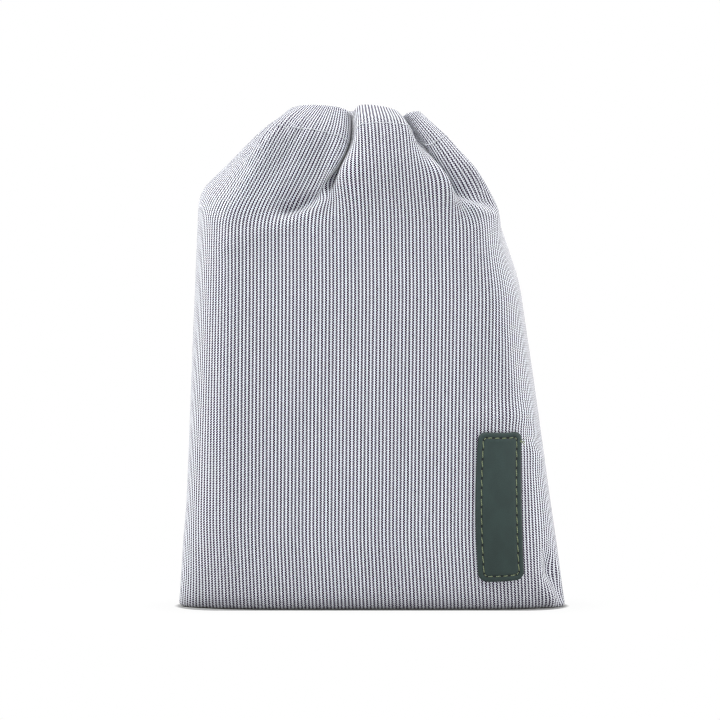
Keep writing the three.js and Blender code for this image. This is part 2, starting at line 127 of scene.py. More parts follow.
# how far the front stands off the straight way from shoulder to stitching, halfway up: cloth, offset
neckSway = [
    (0, (0, 0, 0)),
    (22, (0, 1.2, 0)),
    (45, (0, 1.2, 0)),
    (57.5, (-1.5, -1.5, -2.3)),
    (63, (-1.6, 1.5, 1.4)),
    (69, (-4, -6, 3.5)),
    (76, (0, -3, 0)),
    (97, (0, -3, 0)),
    (107.5, (6.2, -6.5, 2.5)),
    (114, (-2.8, 2.5, 1.8)),
    (121, (-1, -0.5, -2)),
    (132, (4.6, -5, 1.5)),
    (139, (3.6, -5, -0.5)),
    (147, (2.4, -4, -1)),
    (157, (0, 0, 0)),
]

stitchCloth = pouch["shoulderCloth"] + pouch["neckCloth"]
mouthCloth = stitchCloth + pouch["channelCloth"]


def mix(a, b, part):
    return a + (b - a) * part


def smoothstep(x, low, high):
    part = np.clip((x - low) / (high - low), 0.0, 1.0)
    return part * part * (3.0 - 2.0 * part)


def bump(x, centre, width):
    return np.exp(-(((x - centre) / width) ** 2))


def unit(vectors):
    return vectors / np.maximum(np.linalg.norm(vectors, axis=-1, keepdims=True), 1e-9)


# A place round the pouch is a share: 0 at the left seam, 1 at the right seam, 2 at the left again.
def smoothChain(corners):
    points = np.array([(x, y, 0.0) for x, y in corners])
    marks = np.concatenate([[0.0], np.cumsum(np.linalg.norm(np.diff(points, axis=0), axis=1))])
    return marks / marks[-1], points


def gatheredChain(corners, level):
    marks, points = [], []
    for i, corner in enumerate(corners):
        point = np.array(corner[level], float)
        if not corner[3]:
            marks.append(corner[0])
            points.append(point)
            continue
        half = np.array(corners[i + 1][level], float) - np.array(corners[i - 1][level], float)
        half[2] = 0.0
        half *= pouch["foldWidth"] / 2 / np.linalg.norm(half)
        for side in (-1, 1):  # a fold is two corners, so that its walls stay apart
            marks.append(corner[0] + side * pouch["foldWidth"] / 2)
            points.append(point + side * half)
    return np.array(marks) / corners[-1][0], np.array(points)


def ringOf(front, back, bend):
    marks = np.concatenate([back[0] - 1, front[0], back[0] + 1, front[0] + 2])
    points = np.concatenate([back[1], front[1], back[1], front[1]])
    offsets = np.linspace(-bend, bend, 15) / pouch["panelWidth"]

    def at(share):
        rounded = [sum(np.interp(share + o, marks, points[:, k]) for o in offsets) for k in range(3)]
        return np.stack(rounded, axis=-1) / len(offsets)

    return at


def baseRing():
    half, aside = pouch["panelWidth"] / 2 - pouch["cornerPull"], pouch["baseAside"]
    # from the left corner over the edge to the right one, as parts of the base's half width and depth
    outline = [(-1, 0), (-0.91, -0.45), (-0.76, -0.8), (-0.55, -1)]
    outline += [(0.63, -1), (0.8, -0.8), (0.92, -0.45), (1, 0)]
    front = [(aside + x * half, y * pouch["baseFrontDepth"]) for x, y in outline]
    back = [(aside + x * half, -y * pouch["baseBackDepth"]) for x, y in reversed(outline)]
    return ringOf(smoothChain(front), smoothChain(back), pouch["cornerBend"])


def bodyRing(section):
    half, aside = pouch["panelWidth"] / 2 - pouch["cornerPull"], pouch["baseAside"]
    left, right = aside - half + section["leftIn"], aside + half - section["rightIn"]
    near, far, crown = -section["front"], section["back"], section["crown"]
    leftSeam, rightSeam = section["leftSeam"], section["rightSeam"]
    leftTurn, rightTurn = section["leftTurn"], section["rightTurn"]
    front = [
        (left, leftSeam),
        (left + 0.3 * leftTurn, mix(leftSeam, near, 0.6)),
        (left + leftTurn, near),
        (0, near - crown),
        (right - rightTurn, near),
        (right - 0.25 * rightTurn, mix(rightSeam, near, 0.65)),
        (right, rightSeam),
    ]
    wide, bottom = pouch["backFoldWidth"] / 2, far - section["foldDepth"]
    back = [
        (right, rightSeam),
        (right - 0.25 * rightTurn, mix(rightSeam, far, 0.65)),
        (right - rightTurn, far),
        (section["rightFold"] + wide, far + crown / 2),
        (section["rightFold"], bottom),
        (section["rightFold"] - wide, far + crown),
        (section["leftFold"] + wide, far + crown),
        (section["leftFold"], bottom),
        (section["leftFold"] - wide, far + crown / 2),
        (left + leftTurn, far),
        (left + 0.3 * leftTurn, mix(leftSeam, far, 0.6)),
        (left, leftSeam),
    ]
    return ringOf(smoothChain(front), smoothChain(back), pouch["sideBend"])


baseEdge = baseRing()
bodyRings = [(section["cloth"], bodyRing(section)) for section in bodySections]
stitchRing = ringOf(gatheredChain(neckFront, 1), gatheredChain(neckBack, 1), pouch["neckBend"])
mouthRing = ringOf(gatheredChain(neckFront, 2), gatheredChain(neckBack, 2), pouch["mouthBend"])


def swayAt(share):
    marks = np.array([row[0] for row in neckSway]) / pouch["panelWidth"]
    offsets = np.array([row[1] for row in neckSway], float)
    spread = np.linspace(-pouch["swayBend"], pouch["swayBend"], 9) / pouch["panelWidth"]
    inFront = np.where(share < 1, share, 0.0)
    rounded = [sum(np.interp(inFront + o, marks, offsets[:, k]) for o in spread) / 9 for k in range(3)]
    return np.stack(rounded, axis=-1)


# One warp thread per share: the corners of its path, each with the length of cloth below it.
def warpPaths(share):
    share = np.mod(share, 2.0)
    floor = pouch["clothThickness"] / 2
    edge = baseEdge(share)
    under = np.maximum(np.abs(edge[:, 1]), 0.01)
    rightwards = np.where(share < 1, share, 2 - share)
    fromSeam = smoothstep(under, 0.0, np.where(share < 1, pouch["baseFrontDepth"], pouch["baseBackDepth"]))
    shoulder = pouch["sideShoulderHeight"] - pouch["shoulderDrop"] * fromSeam
    shoulder = shoulder - pouch["shoulderTilt"] * rightwards * (1 - fromSeam)
    rise = shoulder / (pouch["shoulderCloth"] - under)
    seam = np.stack([edge[:, 0], 0 * under, 0 * under + floor], axis=-1)
    fold = np.stack([edge[:, 0], edge[:, 1], 0 * under + floor], axis=-1)
    marks, points = [0 * under, under], [seam, fold]
    for cloth, at in bodyRings:
        place = at(share)
        place[:, 2] = floor + rise * (cloth - under)
        marks.append(0 * under + cloth)
        points.append(place)
    stitching, mouth = stitchRing(share), mouthRing(share)
    stitching[:, 2] = pouch["stitchingHeight"] - stitching[:, 2]
    mouth[:, 2] = pouch["mouthHeight"] - mouth[:, 2]
    halfway = (points[-1] + stitching) / 2 + swayAt(share)
    points += [halfway, stitching, mouth]
    halfNeck = stitchCloth - pouch["neckCloth"] / 2
    marks += [0 * under + cloth for cloth in (halfNeck, stitchCloth, mouthCloth)]
    return marks, points


def onPaths(marks, points, cloth):
    height = np.abs(cloth)
    at = points[0].copy()
    for j in range(len(marks) - 1):
        part = (height - marks[j]) / (marks[j + 1] - marks[j])
        part = np.maximum(part, 0.0) if j == len(marks) - 2 else np.clip(part, 0.0, 1.0)
        at += part[:, None] * (points[j + 1] - points[j])
    at[:, 1] *= np.where(cloth < 0, -1.0, 1.0)
    return at


# The middle of the cloth at a share round the pouch and a length of cloth above the bottom seam.
def clothPoint(share, cloth):
    share, cloth = np.broadcast_arrays(np.asarray(share, float), np.asarray(cloth, float))
    shape = share.shape
    share, cloth = share.ravel(), cloth.ravel()
    marks, points = warpPaths(share)
    bend = mix(pouch["baseBend"], pouch["bodyBend"], smoothstep(cloth, 10.0, 40.0))
    total = sum(onPaths(marks, points, cloth + bend * part) for part in np.linspace(-1, 1, 13)) / 13
    return (total + np.array(pouch["place"])).reshape(shape + (3,))


class nodeMaker:  # short calls for a node tree: each gives back the output socket
    def __init__(self, tree):
        self.tree = tree

    def add(self, kind, **settings):
        node = self.tree.nodes.new(kind)
        for name, value in settings.items():
            setattr(node, name, value)
        return node

    def plug(self, socket, value):
        if isinstance(value, bpy.types.NodeSocket):
            self.tree.links.new(value, socket)
        elif value is not None:
            socket.default_value = value

    def math(self, operation, a, b=None, c=None):
        node = self.add("ShaderNodeMath", operation=operation)
        for socket, value in zip(node.inputs, (a, b, c)):
            self.plug(socket, value)
        return node.outputs[0]

    def ramp(self, value, low, high, toLow=0.0, toHigh=1.0):
        node = self.add("ShaderNodeMapRange", interpolation_type="SMOOTHSTEP")
        for socket, part in zip(node.inputs, (value, low, high, toLow, toHigh)):
            self.plug(socket, part)
        return node.outputs[0]

    def blend(self, part, a, b, kind="MIX"):
        node = self.add("ShaderNodeMix", data_type="RGBA", blend_type=kind, clamp_factor=True)
        self.plug(node.inputs[0], part)
        self.plug(node.inputs[6], a)
        self.plug(node.inputs[7], b)
        return node.outputs[2]

    def distance(self, a, b):
        return self.math("SQRT", self.math("ADD", self.math("MULTIPLY", a, a), self.math("MULTIPLY", b, b)))

    def grey(self, value):
        node = self.add("ShaderNodeCombineColor")
        for socket in node.inputs[:3]:
            self.plug(socket, value)
        return node.outputs[0]

    def noise(self, vector, scale, detail=2.0, roughness=0.5):
        node = self.add("ShaderNodeTexNoise", noise_dimensions="3D")
        self.plug(node.inputs["Vector"], vector)
        self.plug(node.inputs["Scale"], scale)
        self.plug(node.inputs["Detail"], detail)
        self.plug(node.inputs["Roughness"], roughness)
        return node.outputs["Fac"]

    def stretched(self, vector, scale):
        node = self.add("ShaderNodeVectorMath", operation="MULTIPLY")
        self.plug(node.inputs[0], vector)
        self.plug(node.inputs[1], scale)
        return node.outputs[0]


def newMaterial(name):
    material = bpy.data.materials.new(name)
    material.use_nodes = True
    maker = nodeMaker(material.node_tree)
    shader = material.node_tree.nodes["Principled BSDF"]
    return material, maker, shader


def setBump(maker, shader, height, distance, strength=1.0):
    node = maker.add("ShaderNodeBump")
    maker.plug(node.inputs["Height"], height)
    node.inputs["Distance"].default_value = distance
    node.inputs["Strength"].default_value = strength
    maker.plug(shader.inputs["Normal"], node.outputs[0])


ticking = {
    "warpPitch": 0.2718,  # mm; two dark and three pale threads to a stripe
    "weftPitch": 0.475,
    "darkWidth": 2.74,  # of the five threads' width, for the two dark ones
    "wander": 0.25,
    "spread": 0.45,
    "dark": (0.040, 0.019, 0.060, 1),
    "pale": (0.865, 0.90, 0.955, 1),
    # the weft is a little darker than the pale warp: partly its own tone, partly painted shade where it
    # shows between warp threads
    "weft": (0.83, 0.865, 0.94, 1),
    "weftShows": 0.95,
    # how dark the painted shade in the hollows between threads is
    "shadeBetweenThreads": 0.35,
    "threadRelief": 0.00006,
}


def tickingMaterial():
    material, m, shader = newMaterial("Striped ticking")
    uv = m.add("ShaderNodeUVMap", uv_map="cloth").outputs[0]
    split = m.add("ShaderNodeSeparateXYZ")
    m.plug(split.inputs[0], uv)
    # the threads wander a little, as in real cloth
    wander = m.math("SUBTRACT", m.noise(m.stretched(uv, (900, 60, 1)), 1.0, 2.0), 0.5)
    aside = m.math("MULTIPLY", wander, ticking["wander"])
    across = m.math("MULTIPLY_ADD", split.outputs[0], 1 / (ticking["warpPitch"] * mm), aside)
    along = m.math("MULTIPLY", split.outputs[1], 1 / (ticking["weftPitch"] * mm))
    # threads 0 and 1 of each stripe are dark and thicker than 2, 3 and 4
    stripe = m.math("FLOOR", m.math("DIVIDE", across, 5.0))
    inStripe = m.math("MULTIPLY_ADD", stripe, -5.0, across)
    darkOnes = m.math("DIVIDE", inStripe, ticking["darkWidth"] / 2)
    paleWidth = (5 - ticking["darkWidth"]) / 3
    paleOnes = m.math("MULTIPLY_ADD", inStripe, 1 / paleWidth, 2 - ticking["darkWidth"] / paleWidth)
    place = m.math("MULTIPLY_ADD", stripe, 5.0, m.math("MAXIMUM", darkOnes, paleOnes))
    thread, row = m.math("FLOOR", place), m.math("FLOOR", along)
    inThread, inRow = m.math("FRACT", place), m.math("FRACT", along)
    checker = m.math("PINGPONG", m.math("ADD", thread, row), 1.0)
    # how far this point is from the middle of its crossing
    x = m.math("MULTIPLY", m.math("SUBTRACT", inThread, 0.5), 2.0)
    y = m.math("MULTIPLY", m.math("SUBTRACT", inRow, 0.5), 2.0)
    x2, y2 = m.math("MULTIPLY", x, x), m.math("MULTIPLY", y, y)
    weftSpot = m.ramp(m.math("MULTIPLY_ADD", x2, 2.2, m.math("MULTIPLY", y2, 2.2)), 1.1, 0.8)
    weftShows = m.math("MULTIPLY", m.math("MULTIPLY", weftSpot, checker), ticking["weftShows"])
    # a thread that lies on top spreads over its neighbours
    spread = m.math("MULTIPLY", m.math("SUBTRACT", 1.0, y2), m.math("MULTIPLY", checker, ticking["spread"]))
    covering = m.math("MULTIPLY_ADD", x, spread, place)
    dark = m.math("LESS_THAN", m.math("FLOORED_MODULO", covering, 5.0), 2.0)
    # each thread has its own tone, and thicker and thinner places along it
    own = m.add("ShaderNodeTexWhiteNoise", noise_dimensions="1D")
    m.plug(own.inputs["W"], thread)
    slubs = m.noise(m.stretched(uv, (3679, 160, 1)), 1.0, 2.0, 0.6)
    ownTone = m.ramp(own.outputs[0], 0.0, 1.0, 0.93, 1.05)
    tone = m.math("ADD", ownTone, m.ramp(slubs, 0.25, 0.75, -0.07, 0.07))
    colour = m.blend(dark, ticking["pale"], ticking["dark"])
    colour = m.blend(weftShows, colour, ticking["weft"])
    # painted shade: the colour is darkened at each thread's sides, in the hollows between threads
    edge = m.math("MULTIPLY", x2, m.math("SUBTRACT", 1.0, weftSpot))
    shadeInHollows = m.math("MULTIPLY", edge, ticking["shadeBetweenThreads"])
    shade = m.math("MULTIPLY", m.math("SUBTRACT", 1.0, shadeInHollows), tone)
    m.plug(shader.inputs["Base Color"], m.blend(1.0, colour, m.grey(shade), "MULTIPLY"))
    over = m.math("SUBTRACT", 1.0, m.math("MULTIPLY", x2, 0.9))
    height = m.math("ADD", over, m.math("MULTIPLY", weftShows, 0.5))
    height = m.math("SUBTRACT", height, m.math("MULTIPLY", checker, m.math("MULTIPLY", y2, 0.3)))
    setBump(m, shader, height, ticking["threadRelief"], 0.6)
    shader.inputs["Roughness"].default_value = 0.82
    shader.inputs["Specular IOR Level"].default_value = 0.25
    shader.inputs["Sheen Weight"].default_value = 0.7
    shader.inputs["Sheen Roughness"].default_value = 0.4
    return material


# the label, in millimetres
label = {
    "width": 16.9,
    "height": 56.8,
    "thickness": 1.4,
    "cornerRadius": 3.0,
    "fromRightSeam": 29.6,  # cloth from the right seam to the label's middle
    "aboveFloor": 39.2,
    "liftFromCloth": 0.42,
    "wornRim": 1.2,
    "slant": 0.09,  # its ends hang lower on the right than the cloth's weft
    "bow": 0.7,  # of the left side
    "seamInset": 2.1,
    "seamCornerCut": 0.9,
    "sideStitches": 14,
    "endStitches": 4,
    "groove": 0.32,
    "holeLength": 0.68,
    "holeWidth": 0.40,
    "topColour": (0.026, 0.047, 0.044, 1),
    "lowColour": (0.020, 0.039, 0.035, 1),
    "rimColour": (0.022, 0.036, 0.033, 1),
    # near black: painted shade inside the awl holes
    "holeShadeColour": (0.004, 0.006, 0.006, 1),
}
labelShare = 1 - label["fromRightSeam"] / pouch["panelWidth"]
labelCloth = label["aboveFloor"] + abs(baseEdge(np.array([labelShare]))[0, 1])

# how closely the panels' points lie, in millimetres of cloth
fineness = {
    "column": 1.7,
    "bodyRow": 2.5,
    "neckRow": 1.25,
    "neckFrom": 140.0,
    "hem": (0.5, 1.0, 1.6, 2.6, 4.0, 6.0, 8.5, 11.0, 13.5, 15.0, 17.0),  # below the mouth, inside
}
columnsPerPanel = round(pouch["panelWidth"] / fineness["column"])
baseRows = 7
bodyRows = round((fineness["neckFrom"] - pouch["baseFrontDepth"]) / fineness["bodyRow"])
neckRows = round((stitchCloth - fineness["neckFrom"]) / fineness["neckRow"])
channelRows = round(pouch["channelCloth"] / fineness["neckRow"])
columnShare = np.arange(2 * columnsPerPanel) / columnsPerPanel


# How much cloth lies below each point: the lowest rows follow the base's edge, the top ones the
# channel.
def clothBelow():
    under = np.maximum(np.abs(baseEdge(columnShare)[:, 1]), 2.5)[:, None]
    base = under * np.linspace(0, 1, baseRows + 1)[None, :]
    body = under + (fineness["neckFrom"] - under) * np.linspace(0, 1, bodyRows + 1)[None, 1:] ** 0.95
    neck = np.linspace(fineness["neckFrom"], stitchCloth, neckRows + 1)[1:]
    channel = np.linspace(stitchCloth, mouthCloth, channelRows + 1)[1:]
    top = np.repeat(np.concatenate([neck, channel])[None, :], len(columnShare), axis=0)
    return np.concatenate([base, body, top], axis=1)


rowCloth = clothBelow()


def standingCloth():
    return clothPoint(np.repeat(columnShare[:, None], rowCloth.shape[1], axis=1), rowCloth)


# What the filling and the gathering do to the front, by place on the cloth (from the left seam, above
# the bottom seam), in millimetres. A pull moves the cloth round a place, over a width and a height.
pulls = [
    {"at": (133, 168), "size": (8, 10), "by": (2.4, 0, 0)},
    {"at": (110, 176), "size": (4, 8), "by": (1.8, -1.5, 0)},
    {"at": (117.5, 176), "size": (4, 8), "by": (-1.5, 1.8, 0)},
    {"at": (118, 171), "size": (6, 6), "by": (0.6, -2.0, 0)},
    {"at": (126, 180), "size": (7, 6), "by": (0, 1.8, 0)},
    {"at": (48, 169), "size": (8, 6), "by": (0, 2.5, 0)},
    {"at": (56.5, 194), "size": (5, 14), "by": (1.2, -1.5, 0)},
    {"at": (7, 4), "size": (8, 12), "by": (-0.6, -0.6, 0)},
    {"at": (149, 21), "size": (5, 5), "by": (-1.4, -0.5, 0)},
    {"at": (148, 11), "size": (5, 4), "by": (0.7, -0.9, 0)},
    {"at": (152, 2), "size": (4, 4), "by": (1.0, -0.7, 0)},
]
# A crease drops on one side of a line (1 is the right) and swells on the other. Its wall starts and
# ends at these distances from the line, and it grows to full strength over the "from" part of it.
creases = [
    {  # the left fold runs out over the body
        "line": ((75, 208), (71, 194), (66, 184), (61, 176), (55.5, 169.5), (48, 165), (39, 162)),
        "side": -1, "drop": 3.8, "wall": (-1.0, 4.8), "reach": 9.0, "swell": 0.8, "from": (0.3, 0.6),
    },
    {  # the right fold
        "line": ((95, 208), (101, 196), (108, 187), (115, 179.5), (120, 174), (126, 169), (135, 166)),
        "side": 1, "drop": 2.6, "wall": (-1.5, 4.0), "reach": 7.0, "swell": 0.5, "from": (0.35, 0.65),
    },
    {  # at the channel's left corner
        "line": ((22, 218), (22, 210), (21.5, 203), (19, 196), (14, 186)),
        "side": -1, "drop": 2.4, "wall": (-1.5, 1.8), "reach": 5.0, "swell": 1.0, "from": (0.0, 0.3),
    },
]
# a ripple is a ridge, or a trough when its height is below nought
ripples = [
    {"line": ((121, 120), (123, 109.5), (126, 96), (127.5, 82.5)), "height": -1.0, "width": 3.2},
    {"line": ((129, 122), (131, 100), (133, 86)), "height": 0.5, "width": 4.0},
    {"line": ((136, 84), (143, 77), (152, 71)), "height": -0.9, "width": 2.4},
    {"line": ((138, 74), (145, 68), (153, 62)), "height": 0.8, "width": 2.8},
    {"line": ((145, 32), (149.5, 18), (153, 5)), "height": -1.7, "width": 1.9},
    {"line": ((141, 24), (146, 12), (150, 4)), "height": 1.2, "width": 2.2},
    {"line": ((151.5, 27), (154.5, 12)), "height": 1.0, "width": 1.6},
    {"line": ((110, 86), (126, 88), (144, 84)), "height": 1.3, "width": 4.5},
    {"line": ((25, 201), (25, 187), (24, 174)), "height": 0.6, "width": 3.2},
    {"line": ((33.5, 203), (33.5, 188), (33, 171)), "height": -0.9, "width": 3.2},
    {"line": ((41.5, 205), (41.5, 190), (42, 174), (42.5, 163)), "height": 1.0, "width": 3.2},
    {"line": ((49, 202), (49.5, 187), (50, 176)), "height": -0.7, "width": 3.0},
    {"line": ((20, 150), (34, 158), (47, 161)), "height": 0.7, "width": 4.0},
    {"line": ((78, 158), (92, 163), (108, 161)), "height": 0.5, "width": 6.0},
]
# the filled cloth's slow unevenness, and the tiny gathers at the channel's sewing
undulation = {"height": 0.35, "gathers": 0.3, "labelMargin": 5.0}


# How far off a line each place is, on which side, and how far along the line, from 0 to 1.
def besideLine(line, u, v):
    line = np.array(line, float)
    marks = np.concatenate([[0], np.cumsum(np.linalg.norm(np.diff(line, axis=0), axis=1))])
    fine = np.linspace(0, marks[-1], 90)
    path = [sum(np.interp(fine + o, marks, line[:, k]) for o in (-4, -2, 0, 2, 4)) / 5 for k in (0, 1)]
    path = np.stack(path, axis=-1)
    ahead = unit(np.gradient(path, axis=0))
    off = np.stack([u, v], axis=-1)[..., None, :] - path
    near = np.argmin((off**2).sum(-1), axis=-1)
    chosen = np.take_along_axis(off, near[..., None, None], axis=-2)[..., 0, :]
    away = ahead[near]
    side = np.sign(away[..., 0] * chosen[..., 1] - away[..., 1] * chosen[..., 0])
    return np.linalg.norm(chosen, axis=-1) * side, near / (len(fine) - 1)


def creaseLift(crease, u, v):
    distance, along = besideLine(crease["line"], u, v)
    distance = distance * crease["side"]
    strength = smoothstep(along, *crease["from"]) * (1 - smoothstep(along, 0.85, 1.0))
    top, foot = crease["wall"]
    drop = smoothstep(distance, top, foot) * np.exp(-np.maximum(distance - foot, 0) / crease["reach"])
    return strength * (crease["swell"] * bump(distance, top - 1.5, 2.5) - crease["drop"] * drop)


def rippleLift(ripple, u, v):
    distance, along = besideLine(ripple["line"], u, v)
    ends = np.sin(np.pi * np.clip(along, 0.02, 0.98)) ** 0.5
    return ripple["height"] * bump(distance, 0, ripple["width"]) * ends


def offLabel(u, v):
    x = np.maximum(np.abs(u - labelShare * pouch["panelWidth"]) - label["width"] / 2, 0)
    y = np.maximum(np.abs(v - labelCloth) - label["height"] / 2, 0)
    return smoothstep(np.hypot(x, y), 0.0, undulation["labelMargin"])


def softUneven(u, v):
    broad = np.sin(u / 9.3 + 0.9 * np.sin(v / 31) + 0.4) * np.sin(v / 43 + u / 60 + 1.1)
    broad = broad + 0.5 * np.sin(u / 5.1 + 1.3 * np.sin(v / 23 + 2)) * np.sin(v / 29 + 0.3)
    gathers = np.sin(u / 1.15 + 1.4 * np.sin(u / 7)) + 0.6 * np.sin(u / 0.72 + 2 * np.sin(u / 5))
    edge = smoothstep(v, 8.0, 30.0) * (1 - smoothstep(v, 175.0, 195.0))
    return undulation["height"] * broad * edge + undulation["gathers"] * gathers * bump(v, stitchCloth, 8.0)


def gridNormals(grid):
    across = np.roll(grid, -1, axis=0) - np.roll(grid, 1, axis=0)
    up = np.empty_like(grid)
    up[:, 1:-1] = grid[:, 2:] - grid[:, :-2]
    up[:, 0], up[:, -1] = grid[:, 1] - grid[:, 0], grid[:, -1] - grid[:, -2]
    return unit(np.cross(across, up))


# the turned-in hem, in millimetres: wide round the cord, then close to the front where it is sewn
hem = {"turn": 1.5, "channelInset": 2.9, "sewnInset": 0.8, "narrowsFrom": 6.0, "narrowsTo": 15.0}


def hemInset(below):
    turn = np.minimum(below / hem["turn"], 1.0)
    down = smoothstep(below, hem["narrowsFrom"], hem["narrowsTo"])
    return np.sqrt(1 - (1 - turn) ** 2) * mix(hem["channelInset"], hem["sewnInset"], down)


# The top is turned in and comes down inside, round the cord's channel.
def addHem(grid):
    normals = gridNormals(grid)
    rows = [grid]
    for below in fineness["hem"]:
        at = mouthCloth - below
        top = rowCloth[0]  # up here every column has its rows at the same cloth
        j = int(np.clip(np.searchsorted(top, at) - 1, 0, len(top) - 2))
        part = (at - top[j]) / (top[j + 1] - top[j])
        place = mix(grid[:, j], grid[:, j + 1], part)
        normal = unit(mix(normals[:, j], normals[:, j + 1], part))
        rows.append((place - normal * hemInset(below))[:, None])
    return np.concatenate(rows, axis=1)


# The four-sided faces between the points of a grid.
def squares(index):
    corners = [index[:-1, :-1], index[1:, :-1], index[1:, 1:], index[:-1, 1:]]
    return np.stack(corners, axis=-1).reshape(-1, 4)


def layFlat(mesh, name, flat):
    layer = mesh.uv_layers.new(name=name)
    corners = np.empty(len(mesh.loops), np.int32)
    mesh.loops.foreach_get("vertex_index", corners)
    layer.data.foreach_set("uv", flat[corners].astype(np.float32).ravel())


def panelMesh(name, grid, first, material):
    columns = columnsPerPanel + 1
    take = (first + np.arange(columns)) % grid.shape[0]
    points = grid[take]
    rows = points.shape[1]
    index = np.arange(columns * rows).reshape(columns, rows)
    faces = squares(index)
    mesh = bpy.data.meshes.new(name)
    mesh.from_pydata((points.reshape(-1, 3) * mm).tolist(), [], faces.tolist())
    turnedIn = np.repeat(mouthCloth + np.array(fineness["hem"])[None, :], columns, axis=0)
    v = np.concatenate([rowCloth[take], turnedIn], axis=1)
    u = np.repeat(np.arange(columns)[:, None] * pouch["panelWidth"] / columnsPerPanel, rows, axis=1)
    layFlat(mesh, "cloth", np.stack([u.ravel(), v.ravel()], axis=-1) * mm)
    mesh.polygons.foreach_set("use_smooth", [True] * len(mesh.polygons))
    mesh.materials.append(material)
    mesh.update()
    piece = bpy.data.objects.new(name, mesh)
    bpy.context.scene.collection.objects.link(piece)
    smooth = piece.modifiers.new("Rounder", "SUBSURF")
    smooth.levels = smooth.render_levels = 1
    smooth.uv_smooth = "PRESERVE_BOUNDARIES"
    thick = piece.modifiers.new("Cloth thickness", "SOLIDIFY")
    thick.thickness = pouch["clothThickness"] * mm
    thick.offset = 0.0
    return piece


print("cloth: standing shape")
clothGrid = standingCloth()
front = slice(0, columnsPerPanel + 1)
u = np.repeat(columnShare[:, None] * pouch["panelWidth"], rowCloth.shape[1], axis=1)
width = pouch["panelWidth"]
seamless = smoothstep(u[front], 0.0, 3.0) * (1 - smoothstep(u[front], width - 3.0, width))
for pull in pulls:
    (atU, atV), (sizeU, sizeV) = pull["at"], pull["size"]
    reach = bump(u[front], atU, sizeU) * bump(rowCloth[front], atV, sizeV)
    clothGrid[front] += (reach * seamless)[..., None] * np.array(pull["by"], float)
lift = softUneven(u, rowCloth)
for crease in creases:
    lift[front] += creaseLift(crease, u[front], rowCloth[front]) * seamless
for ripple in ripples:
    lift[front] += rippleLift(ripple, u[front], rowCloth[front]) * seamless
lift[front] *= offLabel(u[front], rowCloth[front])
clothGrid = clothGrid + gridNormals(clothGrid) * lift[..., None]
clothNormals = gridNormals(clothGrid)
striped = tickingMaterial()
wholeGrid = addHem(clothGrid)
frontPanel = panelMesh("front_panel_cloth", wholeGrid, 0, striped)
backPanel = panelMesh("back_panel_cloth", wholeGrid, columnsPerPanel, striped)
for piece, node in ((frontPanel, "front_panel"), (backPanel, "back_panel")):
    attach(piece, "root")
    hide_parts(node)

# Leather is stiffer than the cloth, so the label lies on a low curved surface through it.
def patchTerms(across, up):
    return np.stack([across**0, across, up, across * across, across * up, up * up], axis=-1)


def fitLabelPatch():
    across, up = np.meshgrid(np.linspace(-10, 10, 9), np.linspace(-30, 30, 13), indexing="ij")
    points = clothPoint(labelShare + across / pouch["panelWidth"], labelCloth + up)
    return np.linalg.lstsq(patchTerms(across, up).reshape(-1, 6), points.reshape(-1, 3), rcond=None)[0]


labelPatch = fitLabelPatch()


def onLabel(across, up, height):
    across, up = np.broadcast_arrays(np.asarray(across, float), np.asarray(up, float))
    leftwards = 0.5 - across / label["width"]
    bowed = label["bow"] * (1 - (2 * up / label["height"]) ** 2) * leftwards
    across, up = across - bowed, up - label["slant"] * across
    step = 0.5
    right = (patchTerms(across + step, up) - patchTerms(across - step, up)) @ labelPatch
    above = (patchTerms(across, up + step) - patchTerms(across, up - step)) @ labelPatch
    facing = unit(np.cross(right, above))
    return patchTerms(across, up) @ labelPatch + facing * np.asarray(height)[..., None], facing


def insideRim(across, up):
    radius = label["cornerRadius"]
    x = np.abs(across) - (label["width"] / 2 - radius)
    y = np.abs(up) - (label["height"] / 2 - radius)
    corner = np.hypot(np.maximum(x, 0), np.maximum(y, 0))
    return radius - corner - np.minimum(np.maximum(x, y), 0)


